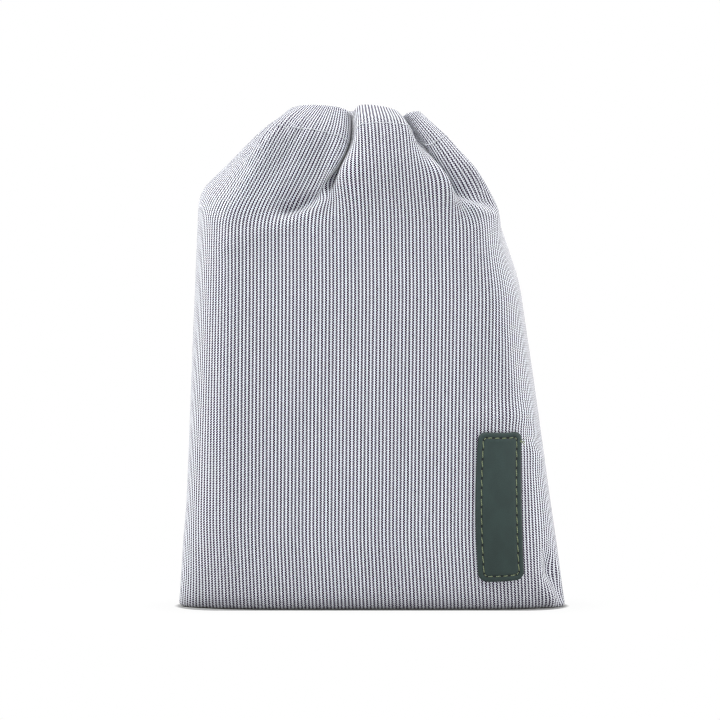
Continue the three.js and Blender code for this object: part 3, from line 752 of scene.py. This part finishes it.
def leatherMaterial():
    material, m, shader = newMaterial("Green leather")
    uv = m.add("ShaderNodeUVMap", uv_map="label").outputs[0]
    split = m.add("ShaderNodeSeparateXYZ")
    m.plug(split.inputs[0], uv)
    across = m.math("DIVIDE", split.outputs[0], mm)
    up = m.math("DIVIDE", split.outputs[1], mm)
    seamX, seamY = label["width"] / 2 - label["seamInset"], label["height"] / 2 - label["seamInset"]
    cut = label["seamCornerCut"]

    # awl holes, opened by the thread, where one stitch ends and the next begins; they are coloured near
    # black, which is painted shade inside the holes
    def holes(along, aside, reach, place, count):
        pitch = 2 * reach / count
        fromEnd = m.math("ADD", along, reach)
        nearest = m.math("MULTIPLY", m.math("ROUND", m.math("DIVIDE", fromEnd, pitch)), pitch)
        off = m.math("DIVIDE", m.math("SUBTRACT", fromEnd, nearest), label["holeLength"])
        offSeam = m.math("SUBTRACT", m.math("ABSOLUTE", aside), place)
        beside = m.math("DIVIDE", offSeam, label["holeWidth"])
        far = m.distance(off, beside)
        within = m.math("LESS_THAN", m.math("ABSOLUTE", along), reach + 0.5)
        return m.math("MULTIPLY", m.ramp(far, 1.15, 0.55), within)

    side = holes(up, across, seamY - cut, seamX, label["sideStitches"])
    end = holes(across, up, seamX - cut, seamY, label["endStitches"])
    pits = m.math("MAXIMUM", side, end)
    rim = m.add("ShaderNodeAttribute", attribute_name="insideRim").outputs["Fac"]
    grain = m.noise(m.stretched(uv, (3200, 2600, 1)), 1.0, 4.0, 0.62)
    cloudy = m.noise(m.stretched(uv, (160, 90, 1)), 1.0, 3.0, 0.5)
    colour = m.blend(m.ramp(split.outputs[1], -0.024, 0.024), label["lowColour"], label["topColour"])
    patchy = m.math("MULTIPLY", m.ramp(cloudy, 0.3, 0.7, 0.88, 1.1), m.ramp(grain, 0.3, 0.7, 0.93, 1.06))
    colour = m.blend(1.0, colour, m.grey(patchy), "MULTIPLY")
    colour = m.blend(m.ramp(rim, 0.7, 0.1, 0.0, 0.7), colour, label["rimColour"])
    # painted shade: the holes are darkened in colour
    colour = m.blend(m.math("MULTIPLY", pits, 0.93), colour, label["holeShadeColour"])
    m.plug(shader.inputs["Base Color"], colour)
    m.plug(shader.inputs["Roughness"], m.ramp(grain, 0.3, 0.7, 0.6, 0.46))
    shader.inputs["Specular IOR Level"].default_value = 0.35
    height = m.math("SUBTRACT", m.math("MULTIPLY", grain, 0.25), pits)
    setBump(m, shader, height, 0.00025, 0.7)
    return material


# A closed plate with a worn, rounded rim and a shallow groove under the stitches.
def labelMesh():
    # how far in from the edge the points lie: close together at the rim and in the groove
    steps = [0, 0.03, 0.1, 0.22, 0.38, 0.55, 0.85, 1.2, 1.5, 1.8, 2.1, 2.4, 2.7, 3.1, 3.8, 4.8, 6.2]
    steps = np.array(steps)
    halfWidth, halfHeight = label["width"] / 2, label["height"] / 2
    fractions = np.concatenate([steps / halfWidth - 1, [-0.12, 0.12], 1 - steps[::-1] / halfWidth])
    levels = np.concatenate([steps - halfHeight, np.linspace(-20.5, 20.5, 22), halfHeight - steps[::-1]])
    radius = label["cornerRadius"]
    intoCorner = np.maximum(np.abs(levels) - (halfHeight - radius), 0)
    half = halfWidth - radius + np.sqrt(np.maximum(radius**2 - intoCorner**2, 0))
    across = fractions[:, None] * half[None, :]
    up = np.repeat(levels[None, :], len(fractions), axis=0)
    inside = np.maximum(insideRim(across, up), 0.0)
    inside[[0, -1], :] = 0.0
    inside[:, [0, -1]] = 0.0
    middle = label["liftFromCloth"] + label["thickness"] / 2
    worn = 1 - np.minimum(inside / label["wornRim"], 1)
    swell = np.sqrt(1 - worn**2) * label["thickness"] / 2
    top = middle + swell - label["groove"] * bump(inside, label["seamInset"], 0.55)
    outer, _ = onLabel(across, up, top)
    inner, _ = onLabel(across, up, middle - swell)
    columns, rows = across.shape
    index = np.arange(columns * rows).reshape(columns, rows)
    under = index.copy()  # the two faces share the edge's points
    behind = np.arange((columns - 2) * (rows - 2)).reshape(columns - 2, rows - 2)
    under[1:-1, 1:-1] = columns * rows + behind
    points = np.concatenate([outer.reshape(-1, 3), inner[1:-1, 1:-1].reshape(-1, 3)])
    faces = squares(index)
    back = squares(under)[:, [0, 3, 2, 1]]
    mesh = bpy.data.meshes.new("leather_label_plate")
    mesh.from_pydata((points * mm).tolist(), [], np.concatenate([faces, back]).tolist())
    flat = np.stack([across.ravel(), up.ravel()], axis=-1)
    flat = np.concatenate([flat, np.stack([across, up], axis=-1)[1:-1, 1:-1].reshape(-1, 2)]) * mm
    layFlat(mesh, "label", flat)
    rim = mesh.attributes.new("insideRim", "FLOAT", "POINT")
    both = np.concatenate([inside.ravel(), inside[1:-1, 1:-1].ravel()])
    rim.data.foreach_set("value", both.astype(np.float32))
    mesh.polygons.foreach_set("use_smooth", [True] * len(mesh.polygons))
    mesh.materials.append(leatherMaterial())
    mesh.update()
    piece = bpy.data.objects.new("leather_label_plate", mesh)
    bpy.context.scene.collection.objects.link(piece)
    return piece


# A node tree that lays one stitch on each point of a run, along and facing as the point says.
def makeStitchTree():
    tree = bpy.data.node_groups.new("Stitch run", "GeometryNodeTree")
    kinds = {"Geometry": "Geometry"}
    kinds.update(dict.fromkeys(("Length", "Thickness", "Arch", "Slant", "Unevenness"), "Float"))
    kinds.update({"Seed": "Int", "Thread": "Material"})
    for name, kind in kinds.items():
        tree.interface.new_socket(name=name, in_out="INPUT", socket_type="NodeSocket" + kind)
    tree.interface.new_socket(name="Geometry", in_out="OUTPUT", socket_type="NodeSocketGeometry")
    m = nodeMaker(tree)
    given = m.add("NodeGroupInput").outputs

    def triple(x=None, y=None, z=None):
        node = m.add("ShaderNodeCombineXYZ")
        for socket, value in zip(node.inputs, (x, y, z)):
            m.plug(socket, value)
        return node.outputs[0]

    def kept(name, geometry, value):
        node = m.add("GeometryNodeCaptureAttribute", domain="POINT")
        node.capture_items.new("FLOAT", name)
        m.plug(node.inputs[0], geometry)
        m.plug(node.inputs[1], value)
        return node.outputs[0], node.outputs[1]

    reach = m.math("MULTIPLY", given["Length"], 0.5)
    dip = m.math("MULTIPLY", given["Arch"], -1.0)
    arc = m.add("GeometryNodeCurveQuadraticBezier")
    arc.inputs["Resolution"].default_value = 8
    m.plug(arc.inputs["Start"], triple(m.math("MULTIPLY", reach, -1.0), 0.0, dip))
    m.plug(arc.inputs["Middle"], triple(0.0, 0.0, m.math("MULTIPLY", given["Arch"], 3.0)))
    m.plug(arc.inputs["End"], triple(reach, 0.0, dip))
    profile = m.add("GeometryNodeCurvePrimitiveCircle")
    profile.inputs["Resolution"].default_value = 7
    m.plug(profile.inputs["Radius"], m.math("MULTIPLY", given["Thickness"], 0.5))
    spline = m.add("GeometryNodeSplineParameter").outputs
    run, length = kept("Length", arc.outputs[0], spline["Length"])
    rim, turn = kept("Turn", profile.outputs[0], spline["Factor"])
    tube = m.add("GeometryNodeCurveToMesh")
    m.plug(tube.inputs["Curve"], run)
    m.plug(tube.inputs["Profile Curve"], rim)
    tube.inputs["Fill Caps"].default_value = True
    twist = m.add("GeometryNodeStoreNamedAttribute", data_type="FLOAT_VECTOR", domain="POINT")
    m.plug(twist.inputs["Geometry"], tube.outputs[0])
    twist.inputs["Name"].default_value = "twist"
    m.plug(twist.inputs["Value"], triple(length, turn, 0.0))
    along = m.add("GeometryNodeInputNamedAttribute", data_type="FLOAT_VECTOR")
    along.inputs["Name"].default_value = "along"
    facing = m.add("GeometryNodeInputNamedAttribute", data_type="FLOAT_VECTOR")
    facing.inputs["Name"].default_value = "facing"
    turned = m.add("FunctionNodeAxesToRotation", primary_axis="Z", secondary_axis="X")
    m.plug(turned.inputs["Primary Axis"], facing.outputs["Attribute"])
    m.plug(turned.inputs["Secondary Axis"], along.outputs["Attribute"])

    def chance(low, high, shift):
        node = m.add("FunctionNodeRandomValue", data_type="FLOAT")
        sockets = [socket for socket in node.inputs if socket.enabled]
        m.plug(sockets[0], low)
        m.plug(sockets[1], high)
        m.plug(node.inputs["Seed"], m.math("ADD", given["Seed"], shift))
        return [socket for socket in node.outputs if socket.enabled][0]

    uneven = given["Unevenness"]
    laid = m.add("GeometryNodeInstanceOnPoints")
    m.plug(laid.inputs["Points"], given["Geometry"])
    m.plug(laid.inputs["Instance"], twist.outputs[0])
    m.plug(laid.inputs["Rotation"], turned.outputs[0])
    longest = m.math("ADD", 1.0, m.math("MULTIPLY", uneven, 0.4))
    size = chance(m.math("SUBTRACT", 1.0, uneven), longest, 1.0)
    m.plug(laid.inputs["Scale"], triple(size, 1.0, 1.0))
    askew = m.add("GeometryNodeRotateInstances")
    m.plug(askew.inputs["Instances"], laid.outputs[0])
    lean = m.math("MULTIPLY", chance(m.math("MULTIPLY", uneven, -1.0), uneven, 2.0), 0.6)
    m.plug(askew.inputs["Rotation"], triple(0.0, 0.0, m.math("ADD", given["Slant"], lean)))
    askew.inputs["Local Space"].default_value = True
    real = m.add("GeometryNodeRealizeInstances")
    m.plug(real.inputs[0], askew.outputs[0])
    smooth = m.add("GeometryNodeSetShadeSmooth")
    m.plug(smooth.inputs[0], real.outputs[0])
    dressed = m.add("GeometryNodeSetMaterial")
    m.plug(dressed.inputs["Geometry"], smooth.outputs[0])
    m.plug(dressed.inputs["Material"], given["Thread"])
    m.plug(m.add("NodeGroupOutput").inputs[0], dressed.outputs[0])
    return tree


stitchTree = makeStitchTree()


def threadMaterial(name, colour, plyShadeAndDarkTone, twistPitch, sheen):
    material, m, shader = newMaterial(name)
    split = m.add("ShaderNodeSeparateXYZ")
    m.plug(split.inputs[0], m.add("ShaderNodeAttribute", attribute_name="twist").outputs["Vector"])
    # two plies wound round each other; the groove between them is coloured darker, which is painted shade
    turns = m.math("MULTIPLY", split.outputs[1], 2.0)
    phase = m.math("MULTIPLY_ADD", split.outputs[0], 1 / (twistPitch * mm), turns)
    ply = m.math("PINGPONG", phase, 0.5)
    fibre = m.noise(m.add("ShaderNodeTexCoord").outputs["Object"], 9000.0, 2.0, 0.6)
    part = m.math("MULTIPLY", m.ramp(ply, 0.02, 0.3), m.ramp(fibre, 0.25, 0.7, 0.75, 1.0))
    m.plug(shader.inputs["Base Color"], m.blend(part, plyShadeAndDarkTone, colour))
    shader.inputs["Roughness"].default_value = 0.6
    shader.inputs["Sheen Weight"].default_value = sheen
    setBump(m, shader, m.math("ADD", ply, m.math("MULTIPLY", fibre, 0.4)), 0.00008, 0.8)
    return material


def sew(name, points, along, facing, values):
    mesh = bpy.data.meshes.new(name + " places")
    mesh.from_pydata((points * mm).tolist(), [], [])
    for key, vectors in (("along", along), ("facing", facing)):
        layer = mesh.attributes.new(key, "FLOAT_VECTOR", "POINT")
        layer.data.foreach_set("vector", vectors.astype(np.float32).ravel())
    piece = bpy.data.objects.new(name, mesh)
    bpy.context.scene.collection.objects.link(piece)
    modifier = piece.modifiers.new("Stitches", "NODES")
    modifier.node_group = stitchTree
    for item in stitchTree.interface.items_tree:
        if item.in_out == "INPUT" and item.name in values:
            modifier[item.identifier] = values[item.name]
    bpy.context.view_layer.update()
    finished = piece.evaluated_get(bpy.context.evaluated_depsgraph_get())
    sewn = bpy.data.meshes.new_from_object(finished)
    piece.modifiers.remove(modifier)
    piece.data = sewn
    sewn.name = name
    return piece


# the sewing: what the stitch tree is given, in metres
labelSeam = {"Thickness": 0.00046, "Arch": 0.00012, "Slant": 0.13, "Unevenness": 0.12, "Seed": 4}
looseEnds = {"Length": 0.0024, "Thickness": 0.00034, "Arch": 0.0003}
channelSeam = {
    "Length": 0.0023, "Thickness": 0.00030, "Arch": 0.00008, "Slant": 0.0, "Unevenness": 0.05, "Seed": 9,
}
channelPitch = 2.6  # mm from stitch to stitch
longStitch, shortStitch = 2.9, 2.0  # mm from hole to hole: along the sides, and over the corners


# Stitches go round the label from hole to hole: each side, each end and a short one over each corner.
def labelStitches():
    seamX, seamY = label["width"] / 2 - label["seamInset"], label["height"] / 2 - label["seamInset"]
    cut = label["seamCornerCut"]
    ends = np.linspace(cut - seamX, seamX - cut, label["endStitches"] + 1)
    sides = np.linspace(cut - seamY, seamY - cut, label["sideStitches"] + 1)
    holes = [(x, -seamY) for x in ends] + [(seamX, y) for y in sides]
    holes += [(x, seamY) for x in ends[::-1]] + [(-seamX, y) for y in sides[::-1]]
    holes = np.array(holes)
    following = np.roll(holes, -1, axis=0)
    middle, reach = (holes + following) / 2, np.linalg.norm(following - holes, axis=1)
    top = label["liftFromCloth"] + label["thickness"] - label["groove"]
    place, facing = onLabel(middle[:, 0], middle[:, 1], np.full(len(middle), top))
    start, _ = onLabel(holes[:, 0], holes[:, 1], np.full(len(middle), top))
    finish, _ = onLabel(following[:, 0], following[:, 1], np.full(len(middle), top))
    onSides, onCorners = reach > longStitch, reach <= shortStitch
    onEnds = ~onSides & ~onCorners
    material = threadMaterial("Olive thread", (0.20, 0.25, 0.13, 1), (0.07, 0.09, 0.045, 1), 0.9, 0.25)
    runs = []
    parts = ((onSides, 0.0011, 1.0), (onEnds, 0.0011, 1.0), (onCorners, 0.0005, 0.5))
    for number, (chosen, sunk, arch) in enumerate(parts):
        values = {**labelSeam, "Thread": material, "Seed": labelSeam["Seed"] + number}
        values["Length"] = float(reach[chosen].mean() * mm - sunk)
        values["Arch"] = labelSeam["Arch"] * arch
        name = f"label_stitches_{number + 1}"
        runs.append(sew(name, place[chosen], (finish - start)[chosen], facing[chosen], values))
    # the thread's cut ends stick out over the rim
    across = label["width"] / 2 + np.array([-0.5, 0.1, 0.3])
    up = label["height"] / 2 - 4.2 + np.array([0.4, 0.1, -0.4])
    lifted = label["liftFromCloth"] + label["thickness"] - 0.35
    place, facing = onLabel(across, up, np.full(3, lifted))
    outwards = np.array([[0.9, 0.1, 0.5], [1.0, 0.2, -0.1], [0.8, 0.0, -0.6]])
    values = {**labelSeam, **looseEnds, "Thread": material}
    runs.append(sew("label_thread_ends", place, outwards, facing, values))
    return runs


def channelStitches(name, first, material):
    count = int(pouch["panelWidth"] / channelPitch)
    column = (first + (np.arange(count) + 0.5) / count) * columnsPerPanel
    low = np.floor(column).astype(int)
    part = (column - low)[:, None]
    high = (low + 1) % len(clothGrid)
    row = baseRows + bodyRows + neckRows
    place = mix(clothGrid[low, row], clothGrid[high, row], part)
    facing = unit(mix(clothNormals[low, row], clothNormals[high, row], part))
    right = clothGrid[high, row] - clothGrid[low, row]
    lift = pouch["clothThickness"] / 2 + channelSeam["Thickness"] / mm * 0.15
    return sew(name, place + facing * lift, right, facing, {**channelSeam, "Thread": material})


print("label: plate and stitches")
labelPlate = labelMesh()
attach(labelPlate, "root")
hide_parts("leather_label")
for piece in labelStitches():
    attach(piece, "root")
    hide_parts("label_stitching")
whiteThread = threadMaterial("White thread", (0.80, 0.82, 0.86, 1), (0.50, 0.52, 0.56, 1), 0.6, 0.2)
for name, first, node in (
    ("channel_stitches_front", 0, "channel_stitching_front"),
    ("channel_stitches_back", 1, "channel_stitching_back"),
):
    piece = channelStitches(name, first, whiteThread)
    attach(piece, "root")
    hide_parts(node)


# The cord and the seams' threads inside keep their CAD shape.
def laidThread(name, colour, plyShadeAndDarkTone, plyWidth):
    material, m, shader = newMaterial(name)
    place = m.add("ShaderNodeTexCoord").outputs["Object"]
    split = m.add("ShaderNodeSeparateXYZ")
    m.plug(split.inputs[0], place)
    across = m.math("ADD", split.outputs[0], split.outputs[1])
    slanted = m.math("ADD", across, m.math("MULTIPLY", split.outputs[2], 1.6))
    ply = m.math("PINGPONG", m.math("MULTIPLY", slanted, 1 / (plyWidth * mm)), 1.0)
    fibre = m.noise(place, 4500.0, 3.0, 0.6)
    soiled = m.noise(place, 60.0, 2.0, 0.5)
    # painted shade: the grooves between plies are coloured darker; the soiled patches are real dirt
    part = m.math("MULTIPLY", m.ramp(ply, 0.0, 0.5), m.ramp(fibre, 0.2, 0.8, 0.7, 1.0))
    worn = m.blend(m.ramp(soiled, 0.4, 0.7, 0.0, 0.25), colour, plyShadeAndDarkTone)
    m.plug(shader.inputs["Base Color"], m.blend(part, plyShadeAndDarkTone, worn))
    shader.inputs["Roughness"].default_value = 0.85
    shader.inputs["Sheen Weight"].default_value = 0.3
    setBump(m, shader, m.math("ADD", ply, m.math("MULTIPLY", fibre, 0.3)), plyWidth * mm * 0.3, 0.8)
    return material


def dress(node, material):
    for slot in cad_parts[node].material_slots:
        slot.material = material


print("inside: cord and seams")
dress("drawstring", laidThread("Cotton cord", (0.72, 0.70, 0.65, 1), (0.34, 0.32, 0.28, 1), 0.9))
seamThread = laidThread("Seam thread", (0.80, 0.82, 0.86, 1), (0.50, 0.52, 0.56, 1), 0.35)
for node in ("left_seam_stitching", "right_seam_stitching", "bottom_seam_stitching"):
    dress(node, seamThread)

# the camera, in metres and millimetres of lens; its distance is from the plane of the side seams
view = {"distance": 0.850, "height": 0.0951, "aside": -0.0046, "lens": 109.93}
camera = bpy.data.cameras.new("Camera")
camera.lens, camera.sensor_width = view["lens"], 36.0
camera.clip_start, camera.clip_end = 0.05, 20.0
cameraObject = bpy.data.objects.new("Camera", camera)
bpy.context.scene.collection.objects.link(cameraObject)
cameraObject.location = (view["aside"], pouch["place"][1] * mm - view["distance"], view["height"])
cameraObject.rotation_euler = (math.radians(90), 0, 0)
bpy.context.scene.camera = cameraObject

studio = {
    "ambient": 0.153,
    "floorTone": 0.82,
    "farShadow": 0.04,  # how much of the real shadow shows on the white floor, away from the pouch
    "contactShadow": 0.97,  # and at its edge
    # the floor's colour at the base: painted contact shade
    "contactShadeTone": 0.3,
    "halfWidth": 0.0745,  # m, of the pouch at the floor
    "aim": (0, 0, 0.1),
}


# 1 for what the camera sees, straight or in a reflection, and 0 for the light on the pouch
def whiteToCamera(m):
    path = m.add("ShaderNodeLightPath")
    seen = m.math("MAXIMUM", path.outputs["Is Camera Ray"], path.outputs["Is Glossy Ray"])
    return m.math("MAXIMUM", seen, path.outputs["Is Transmission Ray"])


def makeWorld():
    world = bpy.data.worlds.new("Studio")
    bpy.context.scene.world = world
    world.use_nodes = True
    m = nodeMaker(world.node_tree)
    background = world.node_tree.nodes["Background"]
    background.inputs["Color"].default_value = (1, 1, 1, 1)
    seen = whiteToCamera(m)
    m.plug(background.inputs["Strength"], m.ramp(seen, 0.0, 1.0, studio["ambient"], 1.0))


def makeFloor():
    mesh = bpy.data.meshes.new("Floor")
    mesh.from_pydata([(-3, -3, 0), (3, -3, 0), (3, 3, 0), (-3, 3, 0)], [], [(0, 1, 2, 3)])
    floor = bpy.data.objects.new("Floor", mesh)
    bpy.context.scene.collection.objects.link(floor)
    material, m, shader = newMaterial("Pale floor")
    tone = studio["floorTone"]
    shader.inputs["Roughness"].default_value = 0.7
    glow = m.add("ShaderNodeEmission")
    # the shadow shows round the pouch only, so that floor and backdrop are one white
    split = m.add("ShaderNodeSeparateXYZ")
    m.plug(split.inputs[0], m.add("ShaderNodeTexCoord").outputs["Object"])
    depth = (pouch["baseFrontDepth"] + pouch["baseBackDepth"]) / 2
    middle = pouch["place"][1] + (pouch["baseBackDepth"] - pouch["baseFrontDepth"]) / 2
    offX = m.math("SUBTRACT", m.math("ABSOLUTE", split.outputs[0]), studio["halfWidth"] - depth * mm)
    offY = m.math("SUBTRACT", split.outputs[1], middle * mm)
    offX = m.math("MAXIMUM", offX, 0.0)
    far = m.distance(offX, offY)
    near = depth * mm
    contact = m.ramp(far, near, near + 0.0025, studio["contactShadow"], 0.0)
    around = m.ramp(far, near, near + 0.09, studio["farShadow"], 0.0)
    plain = m.math("SUBTRACT", 1.0, m.math("MAXIMUM", contact, around))
    # painted shade: the floor's colour is darker near the base, which the camera sees at the contact and
    # which dims the light the floor throws back up
    paintedFloorShade = m.ramp(far, near, near + 0.022, studio["contactShadeTone"], tone)
    m.plug(shader.inputs["Base Color"], m.grey(paintedFloorShade))
    both = m.add("ShaderNodeMixShader")
    m.plug(both.inputs[0], m.math("MULTIPLY", whiteToCamera(m), plain))
    m.plug(both.inputs[1], shader.outputs[0])
    m.plug(both.inputs[2], glow.outputs[0])
    m.plug(material.node_tree.nodes["Material Output"].inputs[0], both.outputs[0])
    mesh.materials.append(material)


def softLight(name, place, size, power):
    light = bpy.data.lights.new(name, "AREA")
    light.shape, light.size, light.size_y = "RECTANGLE", size[0], size[1]
    light.energy = power
    lamp = bpy.data.objects.new(name, light)
    bpy.context.scene.collection.objects.link(lamp)
    lamp.location = place
    towards = Vector(studio["aim"]) - Vector(place)
    lamp.rotation_euler = towards.to_track_quat("-Z", "Y").to_euler()


print("studio: floor and lights")
makeWorld()
makeFloor()
softLight("High left softbox", (-0.7, -0.3, 1.0), (0.6, 0.6), 6.3)
softLight("Left softbox", (-1.1, 0.2, 0.4), (0.6, 1.0), 6.5)
softLight("Near right softbox", (0.9, -0.6, 0.5), (0.6, 0.6), 4.0)
softLight("Right softbox", (1.0, 0.35, 0.3), (0.6, 1.0), 8)
softLight("Overhead softbox", (-0.1, -0.1, 1.2), (0.8, 0.8), 11.2)

bpy.context.scene.view_settings.view_transform = "Standard"
# the fine weave stays sharp in the picture
bpy.context.scene.cycles.filter_width = 1.1
bpy.context.scene.cycles.denoising_prefilter = "NONE"
